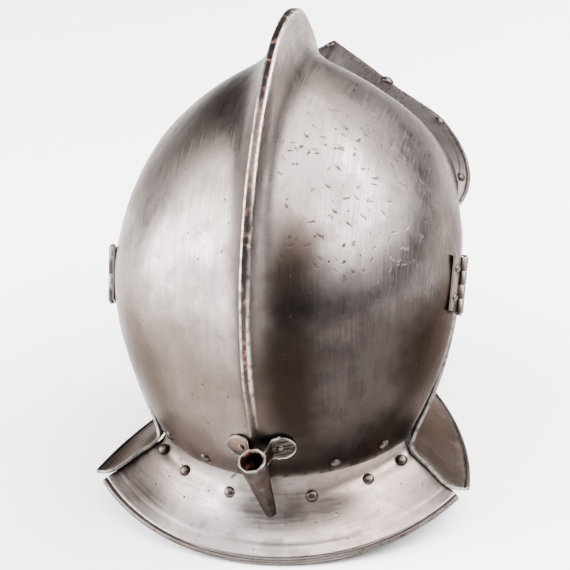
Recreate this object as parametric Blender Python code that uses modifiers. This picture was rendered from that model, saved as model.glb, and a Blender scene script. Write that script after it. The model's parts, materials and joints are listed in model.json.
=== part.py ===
# Burgonet: an open helmet of sheet steel with a high comb, a pointed peak, a riveted neck plate,
# two hinged cheek-pieces and a plume holder at the nape. Metres, +Z up, the face towards -Y.
# The origin is the point under the middle of the helmet, on the surface that its rims stand on.

import math

import bmesh
import bpy
import numpy as np
from mathutils import Matrix, Vector
from mathutils.bvhtree import BVHTree

# Driving sizes. A plate's table gives its middle surface, and the sheet lies half on each side of it.
SHEET = 0.0018
BEAD = 0.0034
BEAD_WIDTH = 0.0032
GAP = 0.0004
HEAD_MIDDLE = (0.0, 0.0270, 0.1200)

# The comb: half the width of its flat crest, the two spreads of its hollow flanks (a steep wall, and
# the wide foot that it runs out in), and how far it leans to the wearer's right as it rises.
CREST_HALF = 0.0018
WALL_SHARE = 0.70
WALL_SPREAD = 0.0048
FOOT_SPREAD = 0.0160
COMB_LEAN = -0.0420
COMB_PLUMB = 0.1420
COMB_LOWEST = 0.0012

# The seam between the skull and a cheek-piece, from the nape corner up to the temple: x, y, z.
SEAM = [
    (0.0735, 0.0757, 0.0446),
    (0.0857, 0.0664, 0.0675),
    (0.0949, 0.0568, 0.0889),
    (0.1003, 0.0472, 0.1102),
    (0.1020, 0.0368, 0.1277),
    (0.1020, 0.0211, 0.1393),
    (0.0998, -0.0001, 0.1475),
    (0.0941, -0.0249, 0.1500),
]

# Skull sections from the nape hem over the crown to the brow. A section runs from the middle line
# to the seam: middle_y, middle_z, comb height, place along the seam (0 to 1), sweep degrees, power.
SKULL = [
    (0.1211, 0.0446, 0.0012, 0.00, 62, 1.92),
    (0.1284, 0.0621, 0.0018, 0.16, 66, 1.94),
    (0.1336, 0.0849, 0.0034, 0.33, 72, 2.00),
    (0.1363, 0.1079, 0.0072, 0.47, 78, 2.00),
    (0.1370, 0.1300, 0.0122, 0.58, 84, 1.94),
    (0.1303, 0.1669, 0.0181, 0.66, 88, 1.81),
    (0.1061, 0.2081, 0.0259, 0.72, 90, 1.67),
    (0.0673, 0.2374, 0.0321, 0.78, 90, 1.60),
    (0.0270, 0.2466, 0.0385, 0.84, 90, 1.60),
    (-0.0148, 0.2424, 0.0338, 0.89, 90, 1.67),
    (-0.0528, 0.2248, 0.0190, 0.94, 90, 1.78),
    (-0.0820, 0.1965, 0.0090, 1.00, 90, 1.88),
]

# The peak's rim from its point round to the temple: x, y, z. The peak hangs between it and the brow.
PEAK_RIM = [
    (0.0000, -0.1542, 0.1919),
    (0.0225, -0.1358, 0.1856),
    (0.0445, -0.1165, 0.1790),
    (0.0622, -0.1030, 0.1745),
    (0.0762, -0.0915, 0.1706),
    (0.0872, -0.0770, 0.1656),
    (0.0952, -0.0620, 0.1605),
    (0.0996, -0.0480, 0.1558),
    (0.1002, -0.0350, 0.1512),
    (0.0977, -0.0240, 0.1474),
]
PEAK_SHARES = [0.14, 0.30, 0.52, 0.76, 1.00]

# Neck plate sections below the skull's hem, out to the rim:
# middle_y, middle_z, comb height, end_x, end_y, end_z, sweep degrees, power.
NECK = [
    (0.1212, 0.0345, 0.0, 0.0745, 0.0745, 0.0362, 61, 1.95),
    (0.1300, 0.0185, 0.0, 0.0895, 0.0850, 0.0290, 58, 2.00),
    (0.1483, 0.0010, 0.0, 0.1078, 0.1005, 0.0212, 56, 2.00),
]

# Cheek-piece sections from the temple down to the nape corner: place along the seam, the gap to the
# skull there and how far the plate stands out of it, then the face edge's x, y, z and the bulge.
CHEEK = [
    (1.00, 0.0060, 0.0000, 0.0890, -0.0400, 0.1385, 0.0010),
    (0.93, 0.0042, 0.0000, 0.0860, -0.0470, 0.1310, 0.0020),
    (0.80, 0.0022, 0.0000, 0.0820, -0.0530, 0.1215, 0.0035),
    (0.62, 0.0013, 0.0000, 0.0770, -0.0580, 0.1090, 0.0055),
    (0.45, 0.0015, 0.0002, 0.0710, -0.0630, 0.0920, 0.0080),
    (0.28, 0.0024, 0.0014, 0.0620, -0.0700, 0.0710, 0.0080),
    (0.12, 0.0034, 0.0030, 0.0470, -0.0790, 0.0500, 0.0070),
    (0.02, 0.0022, 0.0040, 0.0345, -0.0850, 0.0390, 0.0070),
]

# Its flange below, over the neck plate's end: place down that end (0 hem, 1 rim), how far it laps
# on and how high it stands, then the face edge and the bulge. Last the rim, with its rear tip.
FLANGE_OVER = [
    (0.06, 0.0018, 0.0036, 0.0315, -0.0885, 0.0295, 0.0080),
    (0.45, 0.0020, 0.0038, 0.0275, -0.0960, 0.0160, 0.0130),
    (0.84, 0.0012, 0.0040, 0.0255, -0.1010, 0.0080, 0.0165),
]
FLANGE_RIM = (0.1130, 0.0945, 0.0233, 0.0240, -0.1040, 0.0002, 0.0182)
BULGE_SAG = 0.27

# Rows and columns of each plate. The first columns lie at their own distances from the middle line.
SKULL_ROWS = 23
FLARE_ROWS = 6
CHEEK_ROWS = 19
CHEEK_COLUMNS = 9
COMB_COLUMNS = [0.0, 0.0018, 0.0036, 0.0056, 0.0082, 0.0115, 0.0155, 0.0210, 0.0290]
NECK_COLUMNS = [0.0, 0.0150, 0.0300]
SIDE_COLUMNS = 8
LAP_PLACES = [0.80, 0.40, 0.00]
LAP_GAP = 0.0008
SEAM_STEP = 0.05

# The rolled rim: rows inside the edge, as shares of the bead's width, and how full the bead is there.
BEAD_ROWS = [(1.0, 0.0), (0.65, 1.0), (0.25, 1.0), (0.0, 0.55)]

# A rivet in shares of its head's radius: the dome (radius, height), the shank and the peened tail.
RIVET_DOME = [(0.0, 0.56), (0.50, 0.48), (0.87, 0.26), (1.0, 0.0)]
SHANK_SHARE = 0.45
TAIL_SHARE = 0.80
TAIL_HEIGHT = 0.0008
TAIL_END = 0.8
DRILL_REACH = 0.0020
RIVET_SIDES = 10
PROBE_REACH = 0.0060
HINGE_REACH = 0.0200

# Rivets: x, y, z near the head. Those off the middle line come in pairs.
HEM_RIVETS = [(0.0370, 0.1120, 0.0525), (0.0625, 0.0940, 0.0530)]
NECK_RIVETS = [(0.0240, 0.1180, 0.0300), (0.0545, 0.1025, 0.0325), (0.0720, 0.0850, 0.0355)]
PEAK_RIVETS = [
    (0.0000, -0.1473, 0.1896),
    (0.0389, -0.1185, 0.1810),
    (0.0755, -0.0850, 0.1700),
    (0.0935, -0.0400, 0.1560),
]
FLANGE_RIVETS = [(0.0780, 0.0390, 0.0380)]
HEM_HEAD = 0.0034
PEAK_HEAD = 0.0028
SMALL_HEAD = 0.0021

# Hinges, as the left one lies: the pin leans back at its foot, along the seam.
PIN_MIDDLE = (0.1050, 0.0385, 0.1285)
PIN_AXIS = (0.05, -0.60, 0.80)
PIN_RADIUS = 0.0010
PIN_HEAD = 0.0019
PIN_HEAD_RIM = 0.3
PIN_HEAD_TOP = 0.6
BARREL_RADIUS = 0.0023
BARREL_SIDES = 12
KNUCKLES = 4
LEAF_LENGTH = 0.0330
LEAF_START = 0.0030
LEAF_REACH = 0.0125
LEAF_SHEET = 0.0012
# The tab that joins a knuckle to its leaf: where it starts beside the pin's middle, how far it runs
# into the leaf, and its thickness as a share of the leaf's.
TAB_START = 0.0004
TAB_INTO = 0.0010
TAB_SHARE = 0.9
LEAF_RIVET = (0.0080, 0.0085)

# Plume holder: a tapering rolled tube on a saddle with two round ears.
TUBE_FOOT = (-0.0022, 0.1330, 0.0272)
TUBE_MOUTH = (0.0014, 0.1510, 0.0752)
TUBE_FOOT_RADIUS = 0.0036
TUBE_MOUTH_RADIUS = 0.0084
TUBE_SHEET = 0.0010
TUBE_SIDES = 16
EAR_MIDDLE = (0.0112, 0.1330, 0.0730)
EAR_RADIUS = 0.0085
EAR_TIP = 0.0012
SADDLE_HALF_HEIGHT = 0.0060
SADDLE_SHEET = 0.0012
BRIDGE_HEIGHT = 0.0070
BRIDGE_FOOT = 0.0075
SADDLE_COLUMNS = 13
SADDLE_ROWS = 5
BEHIND = 0.2

STEEL = (0.42, 0.40, 0.38)
DARK_STEEL = (0.24, 0.22, 0.21)


def newCollection(name, parent, hidden=False):
    collection = bpy.data.collections.new(name)
    parent.children.link(collection)
    collection.hide_render = hidden
    return collection


def makeMaterial(name, colour, roughness):
    material = bpy.data.materials.new(name)
    material.use_nodes = True
    shader = material.node_tree.nodes["Principled BSDF"]
    shader.inputs["Base Color"].default_value = (*colour, 1.0)
    shader.inputs["Roughness"].default_value = roughness
    shader.inputs["Metallic"].default_value = 1.0
    return material


# Surfaces: grids of points, in rows along a table and columns from the middle line to the side.


def smoothTable(table, places):
    """Rows of a table at fractional row numbers, on a smooth curve through its rows."""
    rows = np.array(table, dtype=float)
    slopes = np.gradient(rows, axis=0)
    low = np.clip(np.floor(places).astype(int), 0, len(rows) - 2)
    t = (np.asarray(places) - low)[:, None]
    blend = 3 * t**2 - 2 * t**3
    between = rows[low] * (1 - blend) + rows[low + 1] * blend
    return between + slopes[low] * (t**3 - 2 * t**2 + t) + slopes[low + 1] * (t**3 - t**2)


def evenRows(table, count):
    return smoothTable(table, np.linspace(0, len(table) - 1, count))


def signedPower(value, exponent):
    return np.sign(value) * np.abs(value) ** exponent


def sectionAngles(row, columns):
    """Angles along a section: first the columns at set distances, then even steps to its end."""
    sweep, exponent = math.radians(row[6]), 2 / row[7]
    across = np.array(columns) * math.sin(sweep) ** exponent / row[3]
    angles = np.arcsin(np.clip(across, 0, 1) ** (1 / exponent))
    rest = np.linspace(angles[-1], sweep, SIDE_COLUMNS + 1)[1:]
    return np.concatenate([angles, rest])


def sectionPoints(row, angles):
    """An arc of a superellipse from the middle line (y, z) out to its end (x, y, z)."""
    middleY, middleZ, _, endX, endY, endZ, sweep, power = row
    sweep, exponent = math.radians(sweep), 2 / power
    x = endX * signedPower(np.sin(angles), exponent) / math.sin(sweep) ** exponent
    last = signedPower(math.cos(sweep), exponent)
    inward = (signedPower(np.cos(angles), exponent) - last) / (1 - last)
    y = endY + (middleY - endY) * inward
    z = endZ + (middleZ - endZ) * inward
    return np.stack([x, y, z], axis=1)


def nearCrest(across):
    """How much of the comb's height stands at some distances from the middle line: 1 on the crest."""
    away = np.maximum(np.abs(across) - CREST_HALF, 0)
    foot = (1 - WALL_SHARE) * np.exp(-away / FOOT_SPREAD)
    return WALL_SHARE * np.exp(-away / WALL_SPREAD) + foot


def raiseComb(points, height, direction):
    """Lifts a section near the middle line: a flat crest whose flanks fall away in a hollow curve."""
    lift = height * nearCrest(points[:, 0])
    return points + lift[:, None] * np.array([0, direction[0], direction[1]])


def leanComb(grid, heights):
    """Sets the comb out of plumb, wherever it stands up from the skull."""
    near = nearCrest(grid[..., 0])
    standing = np.clip(heights / COMB_LOWEST, 0, 1)[:, None]
    grid[..., 0] += COMB_LEAN * (grid[..., 2] - COMB_PLUMB) * near * standing
    return grid


def bothSides(grid):
    """A grid from the middle line out, doubled over to the other side of the helmet."""
    return np.concatenate([grid[:, :0:-1] * np.array([-1, 1, 1]), grid], axis=1)


def skullRows(places):
    """Skull sections with their ends set on the seam, in the neck plate's columns."""
    rows = smoothTable(SKULL, places)
    seam = smoothTable(SEAM, rows[:, 3] * (len(SEAM) - 1))
    return np.column_stack([rows[:, :3], seam, rows[:, 4:]])


def sectionGrid(rows, columns):
    """Sections side by side, with the comb raised square to the middle line."""
    along = np.gradient(rows[:, :2], axis=0)
    outward = np.column_stack([along[:, 1], -along[:, 0]])
    outward /= np.linalg.norm(outward, axis=1)[:, None]
    grid = []
    for row, direction in zip(rows, outward):
        points = sectionPoints(row, sectionAngles(row, columns))
        points[0, 0] = 0
        grid.append(raiseComb(points, row[2], direction))
    return np.array(grid)


def gridNormals(grid):
    """Unit normals of a grid of points, on the side that faces outward in its first row."""
    normals = np.cross(np.gradient(grid, axis=0), np.gradient(grid, axis=1))
    normals /= np.linalg.norm(normals, axis=2)[..., None]
    return normals * np.sign(np.sum(normals[0] * (grid[0] - HEAD_MIDDLE)))


def addBead(grid, weights):
    """Makes the last row of a grid a rolled rim, with the other rows drawn in to make room."""
    steps = np.linalg.norm(np.diff(grid, axis=0), axis=2)
    along = np.concatenate([np.zeros((1, grid.shape[1])), np.cumsum(steps, axis=0)])
    insets = np.array([[inset * BEAD_WIDTH] for inset, _ in BEAD_ROWS])
    drawnIn = along[:-1] * (1 - BEAD_WIDTH / along[-1])
    places = np.concatenate([drawnIn, along[-1] - insets])
    beaded = np.empty((len(places), *grid.shape[1:]))
    for column in range(grid.shape[1]):
        for axis in range(3):
            line = grid[:, column, axis]
            beaded[:, column, axis] = np.interp(places[:, column], along[:, column], line)
    full = [np.maximum(weights[-1], weight) for _, weight in BEAD_ROWS]
    return beaded, np.concatenate([weights[:-1], full])


def peakGrid(brow):
    """The peak: each column runs straight from the brow's last section to the rim."""
    rim = smoothTable(PEAK_RIM, np.linspace(0, len(PEAK_RIM) - 1, 100))
    lengths = [np.linalg.norm(np.diff(line, axis=0), axis=1) for line in (brow, rim)]
    shares, along = [np.append(0, np.cumsum(steps) / steps.sum()) for steps in lengths]
    ends = np.stack([np.interp(shares, along, rim[:, axis]) for axis in range(3)], axis=1)
    return brow + (ends - brow) * np.array(PEAK_SHARES)[:, None, None]


def neckGrid():
    """The neck plate: a band lapped inside the skull's hem, then the flare out to its rim."""
    rows = skullRows(np.array(LAP_PLACES))
    rows[:, 2] = 0
    lap = sectionGrid(rows, NECK_COLUMNS)
    lap = lap - gridNormals(lap) * (SHEET + LAP_GAP)
    lap[:, 0, 0] = 0
    flare = sectionGrid(evenRows(NECK, FLARE_ROWS), NECK_COLUMNS)
    return np.concatenate([lap, flare])


def cheekRows():
    """Each section's rear point, face-edge point and bulge, from the temple down to the rim."""
    places = np.array([row[0] for row in CHEEK]) * (len(SEAM) - 1)
    seam = smoothTable(SEAM, places)
    step = SEAM_STEP
    along = smoothTable(SEAM, places + step) - smoothTable(SEAM, places - step)
    inFront = np.column_stack([np.zeros(len(along)), -along[:, 2], along[:, 1]])
    inFront /= np.linalg.norm(inFront, axis=1)[:, None]
    table = np.array(CHEEK)
    seam[:, 0] += table[:, 2]
    upper = np.column_stack([seam + inFront * table[:, 1:2], table[:, 3:]])
    neck = neckGrid()
    ends = np.concatenate([neck, gridNormals(neck)], axis=2)[len(LAP_PLACES) :, -2:]
    over = []
    for place, lap, lift, *face in FLANGE_OVER:
        inner, end = [smoothTable(ends[:, side], [place * (len(ends) - 1)])[0] for side in (0, 1)]
        onward = (inner[:3] - end[:3]) / np.linalg.norm(inner[:3] - end[:3])
        over.append([*(end[:3] + onward * lap + end[3:] * lift), *face])
    return np.concatenate([upper, over, [FLANGE_RIM]])


def cheekGrid():
    """The left cheek-piece: sections from its rear edge, bulging outward, to its face edge."""
    rows = evenRows(cheekRows(), CHEEK_ROWS)[:, None, :]
    along = np.linspace(0, 1, CHEEK_COLUMNS)[None, :, None]
    rear, bulge = rows[..., :3], rows[..., 6:]
    chord = rows[..., 3:6] - rear
    outward = np.stack([-chord[..., 1], chord[..., 0], 0 * chord[..., 0]], axis=-1)
    outward /= np.linalg.norm(outward, axis=-1)[..., None]
    outward[..., 2] = -BULGE_SAG
    return rear + chord * along + outward * bulge * 4 * along * (1 - along)


# Objects.


def linkShape(name, shape, frame, material, collection):
    """An object from a mesh in progress, at a placing matrix."""
    bmesh.ops.recalc_face_normals(shape, faces=shape.faces)
    mesh = bpy.data.meshes.new(name)
    shape.to_mesh(mesh)
    shape.free()
    mesh.materials.append(material)
    thing = bpy.data.objects.new(name, mesh)
    thing.matrix_world = frame
    collection.objects.link(thing)
    return thing


def gridMesh(name, grid, material):
    rows, columns = grid.shape[:2]
    index = np.arange(rows * columns).reshape(rows, columns)
    corners = [index[:-1, :-1], index[:-1, 1:], index[1:, 1:], index[1:, :-1]]
    faces = np.stack([corner.ravel() for corner in corners], axis=1)
    mesh = bpy.data.meshes.new(name)
    mesh.from_pydata(grid.reshape(-1, 3).tolist(), [], faces.tolist())
    mesh.materials.append(material)
    mesh.shade_smooth()
    mesh.set_sharp_from_angle(angle=math.radians(50))
    return mesh


def plateObject(name, grid, weights, material):
    """A plate: its middle surface thickened to sheet steel, and to a bead where the weights say."""
    plate = bpy.data.objects.new(name, gridMesh(name, grid, material))
    parts.objects.link(plate)
    group = plate.vertex_groups.new(name="bead")
    for number, weight in enumerate(weights.ravel()):
        if weight > 0:
            group.add([number], float(weight), "REPLACE")
    sheet = plate.modifiers.new("sheet", "SOLIDIFY")
    sheet.thickness = BEAD
    sheet.offset = 0
    sheet.vertex_group = "bead"
    sheet.thickness_vertex_group = SHEET / BEAD
    return plate


def turnedObject(name, profile, sides, frame, material, collection):
    """A turned piece: (radius, height) points down its outer side, swept round its own Z axis."""
    mesh = bpy.data.meshes.new(name)
    points = [(radius, 0, height) for radius, height in profile]
    edges = [(i, i + 1) for i in range(len(points) - 1)]
    if profile[0][0] > 0:
        edges.append((len(points) - 1, 0))
    mesh.from_pydata(points, edges, [])
    mesh.materials.append(material)
    turned = bpy.data.objects.new(name, mesh)
    turned.matrix_world = frame
    collection.objects.link(turned)
    screw = turned.modifiers.new("turn", "SCREW")
    screw.steps = sides
    screw.render_steps = sides
    screw.use_merge_vertices = True
    screw.merge_threshold = 0.0001
    return turned


def boxObject(name, corner, opposite, frame, material, collection):
    shape = bmesh.new()
    bmesh.ops.create_cube(shape, size=1.0)
    low, high = Vector(corner), Vector(opposite)
    for vertex in shape.verts:
        vertex.co = [a + (b - a) * (c + 0.5) for c, a, b in zip(vertex.co, low, high)]
    return linkShape(name, shape, frame, material, collection)


def rodObject(name, radius, low, high, frame, material, collection):
    """A cylinder along a frame's Y axis, between two places on it."""
    shape = bmesh.new()
    length = high - low
    sizes = {"radius1": radius, "radius2": radius, "depth": length}
    bmesh.ops.create_cone(shape, cap_ends=True, segments=BARREL_SIDES, **sizes)
    shape.transform(Matrix.Rotation(math.radians(-90), 4, "X"))
    shape.transform(Matrix.Translation((0, low + length / 2, 0)))
    return linkShape(name, shape, frame, material, collection)


def cut(plate, tool, operation):
    modifier = plate.modifiers.new(operation.lower(), "BOOLEAN")
    modifier.operation = operation
    modifier.solver = "EXACT"
    if isinstance(tool, bpy.types.Collection):
        modifier.operand_type = "COLLECTION"
        modifier.collection = tool
    else:
        modifier.object = tool


def hideTool(tool):
    tool.hide_render = True
    tool.display_type = "WIRE"
    return tool


def facesOf(things):
    """A search tree over the faces of some objects, as their modifiers leave them."""
    bpy.context.view_layer.update()
    graph = bpy.context.evaluated_depsgraph_get()
    joined = bmesh.new()
    for thing in things:
        mesh = bpy.data.meshes.new_from_object(thing.evaluated_get(graph))
        mesh.transform(thing.matrix_world)
        joined.from_mesh(mesh)
        bpy.data.meshes.remove(mesh)
    tree = BVHTree.FromBMesh(joined)
    joined.free()
    return tree


def drillHoles(plate, drills):
    """Cuts the clearance holes of all the rivets that go through a plate."""
    if drills:
        holes = newCollection(plate.name + "_holes", cutters, hidden=True)
        for drill in drills:
            holes.objects.link(drill)
        cut(plate, holes, "DIFFERENCE")


def ring(radius):
    """Places at a frame's middle and in a circle about it."""
    turns = [math.radians(45 * step) for step in range(8)]
    return [(0, 0)] + [(radius * math.cos(turn), radius * math.sin(turn)) for turn in turns]


def highestUnder(tree, frame, places, reach):
    """How high the faces stand in a frame, at some places across it, met from a set height."""
    down = -(frame.to_3x3() @ Vector((0, 0, 1)))
    hits = [tree.ray_cast(frame @ Vector((x, y, reach)), down)[0] for x, y in places]
    return max((frame.inverted() @ hit).z for hit in hits if hit)


def rivet(name, aim, plates, head, material):
    """A rivet through a stack of plates, outermost first, at the place nearest to its aim."""
    place, normal, _, _ = facesOf(plates[:1]).find_nearest(Vector(aim))
    stack = facesOf(plates)
    frame = normal.to_track_quat("Z", "Y").to_matrix().to_4x4()
    frame.translation = place
    under = frame @ Matrix.Rotation(math.pi, 4, "X")
    top = highestUnder(stack, frame, ring(head), PROBE_REACH) + GAP
    tail = -highestUnder(stack, under, ring(head * TAIL_SHARE), PROBE_REACH) - GAP
    shank, wide = head * SHANK_SHARE, head * TAIL_SHARE
    dome = [(head * across, top + head * high) for across, high in RIVET_DOME]
    foot = [(shank, top), (shank, tail), (wide, tail)]
    end = [(wide * TAIL_END, tail - TAIL_HEIGHT), (0, tail - TAIL_HEIGHT)]
    turnedObject(name, dome + foot + end, RIVET_SIDES, frame, material, parts)
    hole, over, below = shank + GAP, top + DRILL_REACH, tail - DRILL_REACH
    profile = [(0, over), (hole, over), (hole, below), (0, below)]
    drill = turnedObject(name + "_drill", profile, RIVET_SIDES, frame, material, cutters)
    for plate in plates:
        drillsOf.setdefault(plate.name, []).append(hideTool(drill))


def rivetPairs(group, aims, plates, head, material):
    """Rivets numbered from the middle line, on the line itself or in pairs beside it."""
    for number, (x, y, z) in enumerate(aims, start=1):
        if x == 0:
            rivet(f"{group}_rivet_middle", (x, y, z), plates[LEFT], head, material)
            continue
        for side, word in SIDES:
            rivet(f"{group}_rivet_{word}_{number}", (side * x, y, z), plates[side], head, material)


def pinFrame(side, plates):
    """The hinge's frame: Y up the pin, Z outward, and the pin just clear of the plates below it."""
    axis = Vector((side * PIN_AXIS[0], PIN_AXIS[1], PIN_AXIS[2])).normalized()
    outward = Vector((side, 0, 0))
    outward = (outward - axis * outward.dot(axis)).normalized()
    frame = Matrix((axis.cross(outward), axis, outward)).transposed().to_4x4()
    frame.translation = Vector((side * PIN_MIDDLE[0], PIN_MIDDLE[1], PIN_MIDDLE[2]))
    low = highestUnder(facesOf(plates), frame, besidePin(-LEAF_START, 0, LEAF_START), HINGE_REACH)
    frame.translation = frame @ Vector((0, 0, low + BARREL_RADIUS + GAP))
    return frame


def besidePin(*across):
    """Places across a hinge's frame, at some distances from the pin and all along it."""
    return [(x, y) for x in across for y in np.linspace(-LEAF_LENGTH / 2, LEAF_LENGTH / 2, 5)]


def hingeLeaf(name, frame, towards, plate, knuckles, material):
    """A hinge leaf: a thin plate bent to lie on its own part, with every second knuckle."""
    tree = facesOf([plate])
    near, far = towards * LEAF_START, towards * LEAF_REACH
    underNear = highestUnder(tree, frame, besidePin(near, near * 1.5), HINGE_REACH) + GAP
    underFar = highestUnder(tree, frame, besidePin(far), HINGE_REACH) + GAP
    between = highestUnder(tree, frame, besidePin((near + far) / 2), HINGE_REACH) + GAP
    lift = max(0, between - (underNear + underFar) / 2)
    underNear, underFar = underNear + lift, underFar + lift
    half = LEAF_LENGTH / 2
    leaf = boxObject(name, (near, -half, 0), (far, half, LEAF_SHEET), frame, material, parts)
    for vertex in leaf.data.vertices:
        vertex.co.z += underNear if abs(vertex.co.x - near) < abs(vertex.co.x - far) else underFar
    step = LEAF_LENGTH / KNUCKLES
    for number in knuckles:
        low, high = half - (number + 1) * step + GAP / 2, half - number * step - GAP / 2
        tag = f"{name}_{number}"
        inner = (towards * TAB_START, low, underNear)
        outer = (near + towards * TAB_INTO, high, underNear + LEAF_SHEET * TAB_SHARE)
        barrel = rodObject(tag + "_knuckle", BARREL_RADIUS, low, high, frame, material, cutters)
        tab = boxObject(tag + "_tab", inner, outer, frame, material, cutters)
        cut(leaf, hideTool(tab), "UNION")
        cut(leaf, hideTool(barrel), "UNION")
    bore = rodObject(name + "_bore", PIN_RADIUS + GAP, -half * 2, half * 2, frame, material, cutters)
    cut(leaf, hideTool(bore), "DIFFERENCE")
    return leaf


def hingePin(name, frame, material):
    """The pin, with a peened head at each end."""
    half = LEAF_LENGTH / 2 + GAP
    turn = frame @ Matrix.Rotation(math.radians(-90), 4, "X")
    rim, tip = half + PIN_HEAD * PIN_HEAD_RIM, half + PIN_HEAD * PIN_HEAD_TOP
    top = [(0, tip), (PIN_HEAD, rim), (PIN_HEAD, half)]
    shaft = [(PIN_RADIUS, half), (PIN_RADIUS, -half)]
    foot = [(PIN_HEAD, -half), (PIN_HEAD, -rim), (0, -tip)]
    return turnedObject(name, top + shaft + foot, BARREL_SIDES, turn, material, parts)


def hangCheek(word, frame):
    """Hangs a cheek-piece, and all that is riveted to it, from an empty on the pin's axis."""
    axis = bpy.data.objects.new(f"cheek_axis_{word}", None)
    axis.matrix_world = frame
    parts.objects.link(axis)
    leaf = f"hinge_cheek_leaf_{word}"
    hung = [f"cheek_{word}", f"flange_rivet_{word}_1", leaf, f"{leaf}_rivet_1", f"{leaf}_rivet_2"]
    for name in hung:
        parts.objects[name].parent = axis
        parts.objects[name].matrix_parent_inverse = frame.inverted()


def buildHinge(side, word, skull, cheek, material):
    frame = pinFrame(side, [skull, cheek])
    # A frame's X points to the back of the helmet on the left side, and to the front on the right.
    leaves = [("skull", skull, side, (0, 2)), ("cheek", cheek, -side, (1, 3))]
    for part, plate, towards, knuckles in leaves:
        name = f"hinge_{part}_leaf_{word}"
        leaf = hingeLeaf(name, frame, towards, plate, knuckles, material)
        for number, along in enumerate((LEAF_RIVET[1], -LEAF_RIVET[1]), start=1):
            aim = frame @ Vector((towards * LEAF_RIVET[0], along, 0))
            rivet(f"{name}_rivet_{number}", aim, [leaf, plate], SMALL_HEAD, material)
    hingePin(f"hinge_pin_{word}", frame, material)
    hangCheek(word, frame)


def buildSkull(material):
    """Crown, comb and peak, raised from one sheet."""
    rows = skullRows(np.linspace(0, len(SKULL) - 1, SKULL_ROWS))
    crown = sectionGrid(rows, COMB_COLUMNS)
    grid = bothSides(np.concatenate([crown, peakGrid(crown[-1])]))
    heights = np.append(rows[:, 2], rows[-1, 2] * (1 - np.array(PEAK_SHARES)))
    grid, weights = addBead(leanComb(grid, heights), np.zeros(grid.shape[:2]))
    return plateObject("skull", grid, weights, material)


def buildNeckPlate(material):
    grid = bothSides(neckGrid())
    grid, weights = addBead(grid, np.zeros(grid.shape[:2]))
    return plateObject("neck_plate", grid, weights, material)


def buildCheek(side, word, material):
    """A cheek-piece with its flange, rolled along the flange's rim and the face edge."""
    grid = cheekGrid()
    grid, weights = addBead(grid, np.zeros(grid.shape[:2]))
    grid, weights = addBead(grid.transpose(1, 0, 2), weights.T)
    grid = grid * np.array([side, 1, 1])
    return plateObject(f"cheek_{word}", grid, weights, material)


def buildSaddle(skull, material):
    """The plume holder's seat: a strip over the foot of the comb that ends in two round ears."""
    tree = facesOf([skull])
    earX, _, earZ = EAR_MIDDLE
    xs = np.linspace(-earX - EAR_RADIUS, earX + EAR_RADIUS, SADDLE_COLUMNS)
    reach = np.clip(np.abs(xs) - earX, -EAR_RADIUS, EAR_RADIUS)
    ear = np.sqrt(np.maximum(EAR_RADIUS**2 - reach**2, 0))
    halfHeight = np.maximum(ear, np.where(np.abs(xs) < earX, SADDLE_HALF_HEIGHT, EAR_TIP))
    bridge = np.clip((BRIDGE_FOOT - np.abs(xs)) / (BRIDGE_FOOT - CREST_HALF), 0, 1)
    offset = GAP * 1.5 + SADDLE_SHEET / 2 + BRIDGE_HEIGHT * bridge
    grid = []
    for share in np.linspace(-1, 1, SADDLE_ROWS):
        row = []
        for x, half, out in zip(xs, halfHeight, offset):
            z = earZ + half * share
            place, normal, _, _ = tree.ray_cast(Vector((x, BEHIND, z)), Vector((0, -1, 0)))
            row.append(place + normal * out)
        grid.append(row)
    saddle = bpy.data.objects.new("plume_holder", gridMesh("plume_holder", np.array(grid), material))
    parts.objects.link(saddle)
    sheet = saddle.modifiers.new("sheet", "SOLIDIFY")
    sheet.thickness = SADDLE_SHEET
    sheet.offset = 0
    return saddle


def buildPlumeHolder(skull, material):
    """The saddle and, soldered on its back, the tapering tube, open at both ends."""
    saddle = buildSaddle(skull, material)
    foot, mouth = Vector(TUBE_FOOT), Vector(TUBE_MOUTH)
    frame = (mouth - foot).to_track_quat("Z", "Y").to_matrix().to_4x4()
    frame.translation = foot
    length = (mouth - foot).length
    outside = [(TUBE_MOUTH_RADIUS, length), (TUBE_FOOT_RADIUS, 0)]
    inside = [(radius - TUBE_SHEET, height) for radius, height in reversed(outside)]
    tube = turnedObject("tube", outside + inside, TUBE_SIDES, frame, material, cutters)
    cut(saddle, hideTool(tube), "UNION")
    return saddle


LEFT, RIGHT = 1, -1
SIDES = [(LEFT, "left"), (RIGHT, "right")]

for old in list(bpy.data.objects):
    bpy.data.objects.remove(old)
parts = newCollection("burgonet", bpy.context.scene.collection)
cutters = newCollection("burgonet_cutters", bpy.context.scene.collection, hidden=True)
drillsOf = {}

skullSteel = makeMaterial("skull_steel", STEEL, 0.34)
neckSteel = makeMaterial("neck_plate_steel", STEEL, 0.38)
cheekSteel = makeMaterial("cheek_steel", STEEL, 0.38)
rivetSteel = makeMaterial("rivet_steel", DARK_STEEL, 0.45)
hingeSteel = makeMaterial("hinge_steel", STEEL, 0.42)
holderSteel = makeMaterial("plume_holder_steel", DARK_STEEL, 0.45)

skull = buildSkull(skullSteel)
neckPlate = buildNeckPlate(neckSteel)
holder = buildPlumeHolder(skull, holderSteel)
cheeks = {side: buildCheek(side, word, cheekSteel) for side, word in SIDES}

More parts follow.
